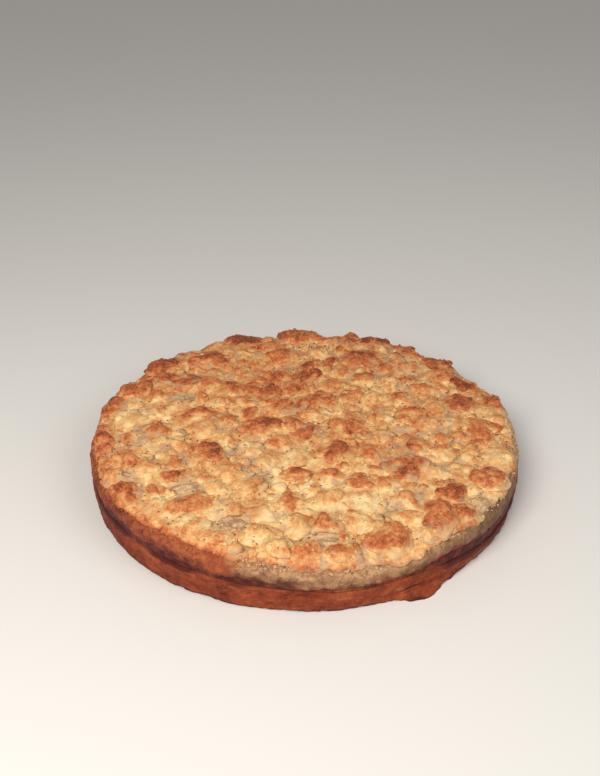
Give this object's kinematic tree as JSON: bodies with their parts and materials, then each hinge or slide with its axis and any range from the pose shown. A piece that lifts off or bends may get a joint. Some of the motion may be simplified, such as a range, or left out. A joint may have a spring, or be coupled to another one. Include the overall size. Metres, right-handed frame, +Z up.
{
  "type": "apple crumble",
  "caption": "Round baked apple crumble with a browned shortcrust base, a dark fruit seam, a pale apple layer and a clumpy golden topping.",
  "frame": {"origin": "middle of the round underside, on the surface it rests on", "axes": "+Z up through the layers, -Y towards the front of the picture, +X to its right"},
  "size_m": [0.2587, 0.2591, 0.0385],
  "materials": {
    "browned_shortcrust": "matte red-brown baked pastry",
    "dark_fruit": "moist dark caramelised fruit juice",
    "cooked_apple": "soft moist pale cooked apple",
    "golden_crumble": "dry crumbly golden topping browned on its high points"
  },
  "bodies": {
    "root": {"shortcrust_base": "browned_shortcrust", "fruit_seam": "dark_fruit", "apple_layer": "cooked_apple", "crumble": "golden_crumble"}
  },
  "joints": []
}
